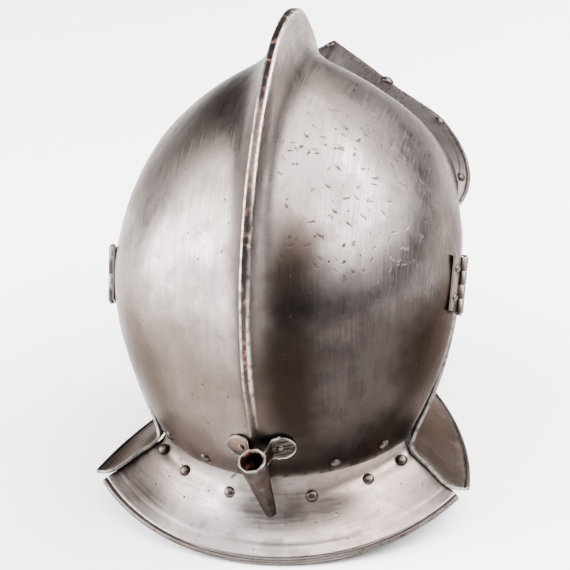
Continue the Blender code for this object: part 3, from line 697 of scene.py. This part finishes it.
def fromNode(name, node):
    # the node's own solid, merged and with its edges rounded
    shape = bmesh.new()
    shape.from_mesh(nodes[node].data)
    bmesh.ops.remove_doubles(shape, verts=shape.verts, dist=0.00002)
    bmesh.ops.recalc_face_normals(shape, faces=shape.faces)
    mesh = bpy.data.meshes.new(name)
    shape.to_mesh(mesh)
    shape.free()
    mesh.shade_smooth()
    mesh.set_sharp_from_angle(angle=math.radians(rounding["hingeSharp"]))
    return softEdges(placed(name, mesh), rounding["hinge"])


hingeParts = {}
for word in ("left", "right"):
    for part in ("skull_leaf", "cheek_leaf", "pin"):
        node = f"hinge_{part}_{word}"
        hingeParts[node] = fromNode(node + "_worn", node)
print("rivets and hinges done")

# plume holder

pipe = {
    "foot": (-0.0022, 0.1330, 0.0272),
    "mouth": (0.0014, 0.1510, 0.0752),
    "footRadius": 0.0036,
    "mouthRadius": 0.0084,
    "sheet": 0.0010,
    "rings": 150,
    "sides": 96,
    "facets": 8,
    "crisp": 0.85,  # how crisp the facets are outside, 1 for flat ones
    "crispInside": 0.7,
    "filePitch": 0.0027,  # spacing of the coarse file strokes
    "fileDepth": 0.00012,
    "fileBend": 0.35,
    "fineFile": (0.4, 5200),  # finer strokes: share of the coarse ones, radians per metre
    "seamStep": 0.0007,  # the sheet's lapped end, inside
    "seamAt": 0.9,  # its angle at the mouth, its turn down to the foot, and where it fades
    "seamTurn": 0.5,
    "seamFade": 1.1,
    "seamEdge": 0.07,
    "lip": 0.00045,
    "uvTurn": 0.006,  # texture metres for each radian round it
}
bracket = {
    "ear": (0.0112, 0.1330, 0.0730),
    "radius": 0.0085,
    "half": 0.0060,  # half the height of the strip between the ears
    "sheet": 0.0012,
    "bridge": 0.0070,  # how far it arches out behind the tube
    "bridgeFoot": 0.0075,
    "gap": 0.0006,
    "fitBeside": 0.006,  # how far beyond the ears, and up and down, it follows the skull
    "fitUp": 0.016,
}


def plumeTube():
    # r(s, a) = taper(s) (flats of an octagon, softened) + file strokes; the lap inside steps in at one angle
    foot, mouth = np.array(pipe["foot"]), np.array(pipe["mouth"])
    length = np.linalg.norm(mouth - foot)
    axis = (mouth - foot) / length
    first = unit(np.cross(axis, [1, 0, 0]))
    second = np.cross(axis, first)
    up = np.linspace(0, 1, pipe["rings"])[:, None]
    angles = np.linspace(0, 2 * np.pi, pipe["sides"], endpoint=False)
    turn = 2 * np.pi / pipe["facets"]
    flats = (math.cos(turn / 2) / np.cos((angles + 0.3) % turn - turn / 2)) ** pipe["crisp"]
    radius = pipe["footRadius"] + (pipe["mouthRadius"] - pipe["footRadius"]) * up
    bend = pipe["fileBend"] * np.sin(angles * 2 + 1)[None]
    strokes = np.abs(np.sin(np.pi * (up * length / pipe["filePitch"] + bend)))
    share, waves = pipe["fineFile"]
    strokes = strokes + share * np.sin(up * length * waves + 2 * np.sin(angles * 3))
    fade = np.clip((1 - up) * 14, 0, 1)
    outer = radius * flats[None] - pipe["fileDepth"] * (1 - strokes) * fade
    sinceSeam = (angles - pipe["seamAt"] + pipe["seamTurn"] * (1 - up)) % (2 * np.pi)
    lap = np.clip(1 - sinceSeam / pipe["seamFade"], 0, 1) * np.clip(sinceSeam / pipe["seamEdge"], 0, 1)
    flatter = 1 - pipe["crispInside"] + pipe["crispInside"] * flats[None]
    inner = radius * flatter - pipe["sheet"] - pipe["seamStep"] * lap
    lip = np.linspace(0, 1, 7)[1:-1][:, None]
    lipRadius = outer[-1] + (inner[-1] - outer[-1]) * (1 - np.cos(lip * np.pi)) / 2
    lipHeight = length + pipe["lip"] * np.sin(lip * np.pi)
    base = join([outer, lipRadius, inner[::-1]])
    height = join([up * length, lipHeight, up[::-1] * length]) + 0 * base
    ring = np.cos(angles)[:, None] * first + np.sin(angles)[:, None] * second
    points = foot + base[..., None] * ring[None] + height[..., None] * axis
    index = numbered(*base.shape)
    faces = [ringFaces(join([index, index[:1]]))]
    marks = {
        "inside": join([0 * outer, 0.5 + 0 * lipRadius, 1 + 0 * inner]),
        "edge": np.exp(-np.abs(height - length) / 0.0007),
    }
    uv = np.stack([angles[None] * pipe["uvTurn"] + 0 * height, height], axis=2).reshape(-1, 2)
    tube = meshObject("plume_tube", points.reshape(-1, 3), faces, uv, marks)
    outward(tube)
    return tube


def plumeSaddle():
    # y = a + bx + cx2 + dz + exz + fz2 + (g + hz) comb(x) + i |x|3, fitted to the skull, then set off
    earX, _, earZ = bracket["ear"]
    reach = earX + bracket["radius"]
    outer = skullFine + skullNormals * (plates["sheet"] / 2)
    beside = np.abs(outer[..., 0]) < reach + bracket["fitBeside"]
    close = outer[beside & (np.abs(outer[..., 2] - earZ) < bracket["fitUp"]) & (outer[..., 1] > 0.1)]

    def terms(x, z):
        crest = nearCrest(x)
        return np.stack([x**0, x, x**2, z, x * z, z**2, crest, crest * z, np.abs(x) ** 3], axis=-1)

    fit = np.linalg.lstsq(terms(close[:, 0], close[:, 2] - earZ), close[:, 1], rcond=None)[0]
    x = reach * np.sin(np.linspace(-1, 1, 141) * np.pi / 2)
    offEar = np.clip(np.abs(x) - earX, -bracket["radius"], bracket["radius"])
    ear = np.sqrt(np.maximum(bracket["radius"] ** 2 - offEar**2, 1e-8))
    half = np.maximum(ear, np.where(np.abs(x) < earX, bracket["half"], 0))
    up = np.linspace(-1, 1, 34)[:, None]
    x, z = np.broadcast_arrays(x[None], up * half[None])
    grid = np.stack([x, terms(x, z) @ fit, z + earZ], axis=2)
    slopeX = (terms(x + 1e-4, z) - terms(x - 1e-4, z)) @ fit / 2e-4
    slopeZ = (terms(x, z + 1e-4) - terms(x, z - 1e-4)) @ fit / 2e-4
    normals = unit(np.stack([-slopeX, 1 + 0 * slopeX, -slopeZ], axis=2))
    ramp = np.clip((bracket["bridgeFoot"] - np.abs(x)) / (bracket["bridgeFoot"] - comb["half"]), 0, 1)
    ramp = ramp * ramp * (3 - 2 * ramp)
    off = bracket["gap"] + bracket["sheet"] / 2 + bracket["bridge"] * ramp
    grid = grid + normals * off[..., None]
    sheet = normals * bracket["sheet"] / 2
    points = join([(grid + sheet).reshape(-1, 3), (grid - sheet).reshape(-1, 3)])
    mark = np.exp(-(1 - np.abs(up)) * half[None] / 0.0005)
    uv = np.stack([x, z], axis=2).reshape(-1, 2)
    faces = sheetFaces(numbered(*x.shape))
    marks = {"edge": join([mark, mark])}
    saddle = meshObject("plume_saddle", points, faces, join([uv, uv]), marks)
    outward(saddle)
    return softEdges(saddle, rounding["saddle"])


tube = plumeTube()
saddle = plumeSaddle()
print("plume holder done")

# materials

wear = {  # a noise's scale, detail, roughness, and the two values between which its patches come in
    "cloud": (15, 5, 0.60, 0.36, 0.64),
    "blotch": (70, 4, 0.60, 0.35, 0.68),
    "lowFall": (32, 4, 0.55, 0.30, 0.70),
    "ragged": (40, 3, 0.55, 0.30, 0.70),
    "crumbs": (900, 2, 0.55, 0.35, 0.55),
    "crestRust": (190, 4, 0.60, 0.52, 0.70),
    "insideRust": (160, 3, 0.55, 0.46, 0.62),
    "rubbed": (240, 3, 0.55, 0.30, 0.60),
    "rust": (None, 5, 0.65, 0.60, 0.74),  # scaled by each look
}
# how fully each mark hides the steel, and how much each roughens it
cover = {"holes": 0.86, "crest": 0.72, "inside": 0.90, "grime": 0.75, "under": 0.88}
rougher = {"cloud": 0.10, "brush": (-0.03, 0.07), "damage": 0.30, "under": 0.25, "worn": -0.08}
flawTurns = ((0.75, 0.0), (-0.50, 0.06), (1.9, 0.10))  # turn of each layer of flaws, how much rarer it is


def linear(code):
    # sRGB hex to linear colour
    parts = [int(code[i : i + 2], 16) / 255 for i in (1, 3, 5)]
    return (*[part / 12.92 if part <= 0.04045 else ((part + 0.055) / 1.055) ** 2.4 for part in parts], 1.0)


def add(tree, kind, inputs=None, **settings):
    # one node with its settings; an input is a value or another node's output
    made = tree.nodes.new("ShaderNode" + kind)
    for key, value in settings.items():
        setattr(made, key, value)
    for key, value in (inputs or {}).items():
        if isinstance(value, bpy.types.NodeSocket):
            tree.links.new(value, made.inputs[key])
        else:
            made.inputs[key].default_value = value
    return made


def steel(name, look):
    # worn steel: clouds of patina, brushing along the plate, pits, short flaws, rust, bright edges, dirt
    # with painted shade, and in some looks painted shade over regions
    material = bpy.data.materials.new(name)
    material.use_nodes = True
    tree = material.node_tree
    shader = tree.nodes["Principled BSDF"]
    place = add(tree, "TexCoord")
    spot = place.outputs["Object"]
    lie = place.outputs["UV"] if look["uv"] else spot

    def tint(key):
        return linear(look[key])

    def calc(operation, a, b=0.0, clamp=False):
        return add(tree, "Math", {0: a, 1: b}, operation=operation, use_clamp=clamp).outputs[0]

    def times(a, b):
        return calc("MULTIPLY", a, b)

    def vector(operation, *inputs, output="Vector"):
        return add(tree, "VectorMath", dict(enumerate(inputs)), operation=operation).outputs[output]

    def ranged(value, low, high, to0=0.0, to1=1.0):
        inputs = {"Value": value, "From Min": low, "From Max": high, "To Min": to0, "To Max": to1}
        return add(tree, "MapRange", inputs, interpolation_type="SMOOTHSTEP").outputs[0]

    def noise(at, scale, detail=3, rough=0.55):
        inputs = {"Vector": at, "Scale": scale, "Detail": detail, "Roughness": rough}
        return add(tree, "TexNoise", inputs).outputs[0]

    def patches(kind, to0=0.0, to1=1.0):
        scale, detail, rough, low, high = wear[kind]
        return ranged(noise(spot, scale or look["rustScale"], detail, rough), low, high, to0, to1)

    def stretched(scale, turn=0.0):
        inputs = {"Vector": lie, "Scale": [1 / part for part in scale], "Rotation": (0, 0, turn)}
        return add(tree, "Mapping", inputs, vector_type="TEXTURE").outputs[0]

    def mix(factor, a, b):
        # this node's colours are inputs 6 and 7 and output 2
        return add(tree, "Mix", {0: factor, 6: a, 7: b}, data_type="RGBA").outputs[2]

    def cells(at, scale, channel, size, share, soft):
        # spots of a size in the share of the cells that lies above a value
        made = add(tree, "TexVoronoi", {"Vector": at, "Scale": scale}, feature="F1")
        picked = add(tree, "SeparateColor", {"Color": made.outputs["Color"]}).outputs[channel]
        return times(ranged(made.outputs["Distance"], *size, 1, 0), ranged(picked, share, share + soft))

    # patina, stains and brushing
    cloud, blotch = patches("cloud"), patches("blotch")
    brush = noise(stretched(look["brush"]), 1)
    coarser = (look["brush"][0] * 0.55, look["brush"][1] * 0.35, 1)
    hair = ranged(noise(stretched(coarser), 1, 2), 0.60, 0.72)
    colour = mix(cloud, tint("steel"), tint("patina"))
    colour = mix(ranged(blotch, 0.45, 1.0, 0, look["blotchy"]), colour, tint("stain"))
    colour = mix(ranged(brush, 0.42, 0.66, 0, look["streaky"]), colour, tint("streak"))
    # tints of whole regions; the low right side and some of the regions are painted shade
    # painted shade low on the right side, near black, its upper edge ragged
    if look["lowSide"]:
        (x0, x1), (z0, z1), codes, strength = look["lowSide"]
        axes = add(tree, "SeparateXYZ", {0: spot})
        fall = calc("ADD", axes.outputs[2], patches("lowFall", -0.006, 0.006))
        mask = times(ranged(axes.outputs[0], x0, x1, strength, 0), ranged(fall, z0, z1, 1, 0))
        colour = mix(mask, colour, mix(blotch, linear(codes[0]), linear(codes[1])))
    ragged = patches("ragged", -0.10, 0.10)
    # tinted regions; on the skull most of them are painted shade
    for centre, radii, soft, code, strength in look["regions"]:
        inputs = {"Vector": spot, "Location": centre, "Scale": radii}
        inside = add(tree, "Mapping", inputs, vector_type="TEXTURE").outputs[0]
        away = calc("ADD", vector("LENGTH", inside, output="Value"), ragged)
        colour = mix(ranged(away, 1 - soft, 1 + soft, strength, 0.0), colour, linear(code))
    # pits, and short flaws lying three ways
    pits = cells(spot, look["pitScale"], 0, (0.10, 0.24), look["pitShare"], 0.05)
    shake = add(tree, "TexNoise", {"Vector": spot, "Scale": 260, "Detail": 2}).outputs["Color"]
    shake = vector("MULTIPLY_ADD", shake, (0.5, 0.5, 0.5), (0.7, 0.7, 0.7))
    flaws = 0.0
    for turn, rarer in flawTurns:
        bent = vector("ADD", stretched(look["dash"], turn), shake)
        flaws = calc("MAXIMUM", flaws, cells(bent, 1.0, 1, (0.10, 0.27), look["dashShare"] + rarer, 0.06))
    if look["flawArea"]:
        centre, radius = look["flawArea"]
        away = vector("DISTANCE", spot, centre, output="Value")
        flaws = times(flaws, ranged(away, radius * 0.6, radius * 1.3, 1.0, 0.12))
    holes = calc("MAXIMUM", pits, times(flaws, patches("crumbs", 0.2, 1)))
    colour = mix(times(holes, cover["holes"]), colour, tint("pit"))
    # the marks drawn on the meshes, and rust
    keys = ("edge", "grime", "crest", "inside", "under")
    marks = {key: add(tree, "Attribute", attribute_name=key).outputs["Fac"] for key in keys}
    rust = calc("MULTIPLY", patches("rust"), look["rusty"], True)
    rust = calc("MAXIMUM", rust, times(marks["crest"], patches("crestRust", 0.04, 0.70)))
    rust = calc("MAXIMUM", rust, times(marks["inside"], patches("insideRust", 0.05, 0.95)))
    for key, code in (("crest", "grime"), ("inside", "under")):
        colour = mix(times(marks[key], cover[key]), colour, tint(code))
    colour = mix(rust, colour, tint("rust"))
    # grime: dirt and painted shade in grooves, along the hem and at the rivets' feet
    for key in ("grime", "under"):
        colour = mix(times(marks[key], cover[key]), colour, tint(key))
    # edges rubbed bright; along the crest this is partly painted highlight
    worn = times(marks["edge"], patches("rubbed", 0.12, look["worn"]))
    colour = mix(worn, colour, tint("bright"))
    tree.links.new(colour, shader.inputs["Base Color"])
    rough = ranged(cloud, 0, 1, look["rough"], look["rough"] + rougher["cloud"])
    rough = calc("ADD", rough, ranged(brush, 0.35, 0.7, *rougher["brush"]))
    rough = calc("ADD", rough, times(calc("MAXIMUM", rust, holes), rougher["damage"]))
    rough = calc("ADD", rough, times(marks["under"], rougher["under"]))
    rough = calc("ADD", rough, times(worn, rougher["worn"]), True)
    tree.links.new(rough, shader.inputs["Roughness"])
    tree.links.new(calc("SUBTRACT", 1.0, times(rust, 0.55)), shader.inputs["Metallic"])
    shader.inputs["Specular Tint"].default_value = tint("grazing")
    # heights in metres
    height = calc("ADD", times(brush, look["brushDepth"]), times(hair, -look["brushDepth"] * 0.7))
    for source, depth in ((holes, -look["pitDepth"]), (blotch, look["lumpy"]), (rust, look["rustHeight"])):
        height = calc("ADD", height, times(source, depth))
    bump = add(tree, "Bump", {"Height": height, "Strength": 1.0, "Distance": 1.0})
    tree.links.new(bump.outputs["Normal"], shader.inputs["Normal"])
    return material


plateLook = {
    "uv": True, "steel": "#857c79", "patina": "#5e5654", "stain": "#49413f", "streak": "#57504d",
    # grime is the colour of dirt and painted shade
    "pit": "#2b211d", "rust": "#7c4c3f", "grime": "#33292a", "bright": "#bdb6b0", "under": "#3d3531",
    "grazing": "#c8c3c0",  # tint of the reflection at a low angle
    "worn": 0.62,  # how bright the edges are rubbed
    "lowSide": None,  # painted shade: x and z over which it comes in, two colours, strength
    "blotchy": 0.45, "streaky": 0.45, "rusty": 0.0, "rustScale": 45, "rustHeight": 0.00003, "rough": 0.27,
    "brush": (850, 22, 1),  # streaks per metre across and along the plate
    "brushDepth": 0.000006, "lumpy": 0.000020, "pitDepth": 0.00010, "pitScale": 260,
    "pitShare": 0.84,  # share of the cells without a pit
    "dash": (72, 190, 1),  # short flaws per metre, across and along
    "dashShare": 0.48,  # and of those without a flaw
    "flawArea": None,  # middle and radius of where the flaws lie
    "regions": [],  # tinted regions, some of them painted shade: middle, radii, softness, colour, strength
}
skullLook = dict(
    plateLook,
    grime="#1c1514",
    lowSide=((0.0, 0.004), (0.128, 0.200), ("#130f0e", "#231d1b"), 0.95),  # painted shade, near black, low on the right side
    flawArea=((-0.052, 0.070, 0.206), 0.060),  # the flaws gather high on the right
    regions=[
        # straw tint low on the left side
        ((0.045, 0.125, 0.100), (0.050, 0.050, 0.050), 0.60, "#50453c", 0.70),
        # painted shade beside the comb, high on the left, and fading down from there
        ((0.022, 0.055, 0.254), (0.038, 0.060, 0.034), 0.55, "#2b2421", 0.62),
        ((0.042, 0.076, 0.222), (0.032, 0.036, 0.022), 0.60, "#57504b", 0.60),
        # painted shade, nearly black, beside the comb on the right, fading upward and outward
        ((-0.020, 0.125, 0.126), (0.015, 0.050, 0.066), 0.55, "#120d0a", 0.92),
        ((-0.024, 0.118, 0.190), (0.014, 0.050, 0.022), 0.60, "#2a211c", 0.75),
        ((-0.045, 0.122, 0.150), (0.024, 0.030, 0.018), 0.70, "#130e0c", 0.50),
        # painted shade down the right edge and the left edge
        ((-0.092, 0.070, 0.100), (0.018, 0.050, 0.036), 0.50, "#0c0807", 0.90),
        ((0.074, 0.098, 0.105), (0.022, 0.040, 0.042), 0.60, "#3a322b", 0.80),
        # painted shade, duller, high on the right, towards the front
        ((-0.036, 0.022, 0.245), (0.022, 0.035, 0.022), 0.60, "#4a423d", 0.60),
    ],
)
neckLook = dict(
    plateLook, rusty=0.50, rust="#7d5a4c", rustScale=150, streaky=0.25, rough=0.31,
    steel="#9d9491", patina="#746b68", dashShare=0.90, brush=(48, 620, 1),
    regions=[  # rust brown on the right, darker at the left end
        ((-0.060, 0.118, 0.020), (0.045, 0.045, 0.045), 0.6, "#6f5a4e", 0.5),
        ((0.080, 0.092, 0.032), (0.034, 0.045, 0.032), 0.6, "#463d39", 0.85),
    ],
)
cheekLook = dict(
    plateLook, rough=0.33, steel="#4f4744", patina="#3a3331", grazing="#aaa5a2",
    rusty=0.30, dashShare=0.90,
    regions=[  # both flanges are darker
        ((0.100, 0.055, 0.028), (0.030, 0.055, 0.034), 0.5, "#2b2522", 0.85),
        ((-0.096, 0.058, 0.028), (0.030, 0.055, 0.034), 0.5, "#413833", 0.70),
    ],
)
ropeLook = dict(
    plateLook, steel="#6c6460", patina="#433c39", grime="#150f0e", rough=0.33,
    rusty=0.35, brush=(300, 300, 1), brushDepth=0.0,
)
domeLook = dict(
    plateLook, uv=False, steel="#4f4742", patina="#352e2a", brush=(200, 200, 200),
    brushDepth=0.000008, rough=0.30, rusty=0.25, dashShare=0.97,
)
hingeLook = dict(domeLook, steel="#6e655e", patina="#4a423c", rough=0.34)
# near-black steel: brown, with painted shade; the left ear painted paler as painted light
saddleLook = dict(
    domeLook, uv=True, steel="#0e0b09", patina="#090706", brush=(90, 900, 1),
    brushDepth=0.000002, worn=0.95,
    regions=[((0.0145, 0.140, 0.090), (0.010, 0.030, 0.020), 0.30, "#6a544a", 0.9)],  # its left ear paler: painted light on the lit side
)
tubeLook = dict(
    domeLook, uv=True, under="#1c1412", steel="#2a2320", patina="#1a1513",
    brush=(90, 2200, 1), brushDepth=0.000030, rough=0.36, rusty=0.35, rust="#83503f",
)

skullSteel = steel("polished_skull_steel", skullLook)  # grey mirror gone brown, brushed fore and aft, with painted shade on its right side and beside the comb
neckSteel = steel("scoured_neck_steel", neckLook)  # paler, freckled with rust towards the rim
cheekSteel = steel("dulled_cheek_steel", cheekLook)  # the same steel, duller
ropeSteel = steel("filed_rope_steel", ropeLook)  # dark in the grooves with dirt and painted shade, worn bright on the strands
domeSteel = steel("hammered_rivet_steel", domeLook)  # dark domes, darker toward the foot with dirt and painted shade, leaving a small bright top
hingeSteel = steel("filed_hinge_steel", hingeLook)  # a little lighter than the rivets
saddleSteel = steel("browned_saddle_steel", saddleLook)  # near black: brown steel with painted shade, like the bowl beside it, bright on its edge
tubeSteel = steel("filed_tube_steel", tubeLook)  # file strokes round it, red rust inside

# on the bodies

dress = [  # thing, body, nodes that it stands for, slot, material
    (skull, "helmet", ["skull"], "skull_steel", skullSteel),
    (skullRope, "helmet", [], "skull_steel", ropeSteel),
    (neck, "helmet", ["neck_plate"], "neck_plate_steel", neckSteel),
    (neckRope, "helmet", [], "neck_plate_steel", ropeSteel),
    (tube, "helmet", ["plume_holder"], "plume_holder_steel", tubeSteel),
    (saddle, "helmet", [], "plume_holder_steel", saddleSteel),
]
for word, (plate, *rims) in cheeks.items():
    dress.append((plate, f"{word}_cheek", [f"cheek_{word}"], "cheek_steel", cheekSteel))
    dress += [(rim, f"{word}_cheek", [], "cheek_steel", ropeSteel) for rim in rims]
for name, thing in rivets.items():
    dress.append((thing, name.replace("_rivets", ""), groups[name], "rivet_steel", domeSteel))
for node, thing in hingeParts.items():
    dress.append((thing, nodes[node]["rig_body"], [node], "hinge_steel", hingeSteel))
for thing, body, replaced, slotName, material in dress:
    thing.data.materials.append(material)
    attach(thing, body)
    if replaced:
        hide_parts(*replaced)
print("materials and bodies done:", len(dress), "pieces")

# table, light and camera

table = {"half": 4, "grain": 3.0, "tones": {"To Min": 0.90, "To Max": 0.94}, "rough": 0.9}
lamps = {  # compass angle from the face's side, height angle, distance, width, height, strength in watts
    "left": (104, 20, 1.30, 1.50, 1.10, 122),
    "right": (271, 40, 1.40, 1.60, 1.10, 106),
    "front": (318, 43, 1.55, 1.45, 0.90, 68),
    "top": (188, 68, 1.40, 1.10, 0.60, 36),
}
lampsAim = (0, 0.02, 0.13)
sky = {"colour": "#cfd0d2", "strength": 0.36}
view = {"yaw": 13.324, "above": 29.93, "roll": -4.886, "eye": (-0.3216, 1.3973, 0.9286), "lens": 172.26}

floorMesh = bpy.data.meshes.new("table")
far = table["half"]
floorMesh.from_pydata([(-far, -far, 0), (far, -far, 0), (far, far, 0), (-far, far, 0)], [], [(0, 1, 2, 3)])
floor = placed("table", floorMesh)
paper = bpy.data.materials.new("white_paper")  # a matt off-white ground, faintly uneven
paper.use_nodes = True
tree = paper.node_tree
shader = tree.nodes["Principled BSDF"]
grain = add(tree, "TexNoise", {"Scale": table["grain"], "Detail": 2.0})
tone = add(tree, "MapRange", {"Value": grain.outputs[0], **table["tones"]})
tree.links.new(tone.outputs[0], shader.inputs["Base Color"])
shader.inputs["Roughness"].default_value = table["rough"]
floor.data.materials.append(paper)


def direction(around, above):
    # by a compass angle from the face's side and a height angle
    level = math.cos(above)
    return Vector((math.sin(around) * level, -math.cos(around) * level, math.sin(above)))


for name, (around, above, distance, width, height, power) in lamps.items():
    way = direction(math.radians(around), math.radians(above))
    light = bpy.data.lights.new("softbox_" + name, "AREA")
    light.shape = "RECTANGLE"
    light.size, light.size_y, light.energy = width, height, power
    lamp = placed("softbox_" + name, light)
    lamp.location = Vector(lampsAim) + way * distance
    lamp.rotation_euler = way.to_track_quat("Z", "Y").to_euler()

world = bpy.data.worlds.new("studio")
world.use_nodes = True
inputs = world.node_tree.nodes["Background"].inputs
inputs["Color"].default_value = linear(sky["colour"])
inputs["Strength"].default_value = sky["strength"]
bpy.context.scene.world = world

back = direction(math.radians(180 + view["yaw"]), math.radians(view["above"]))
lean = Quaternion((0, 0, 1), math.radians(view["roll"]))
cameraData = bpy.data.cameras.new("camera")
cameraData.lens = view["lens"]
cameraData.sensor_width = 36
camera = placed("camera", cameraData)
camera.rotation_euler = (back.to_track_quat("Z", "Y") @ lean).to_euler()
camera.location = view["eye"]
bpy.context.scene.camera = camera
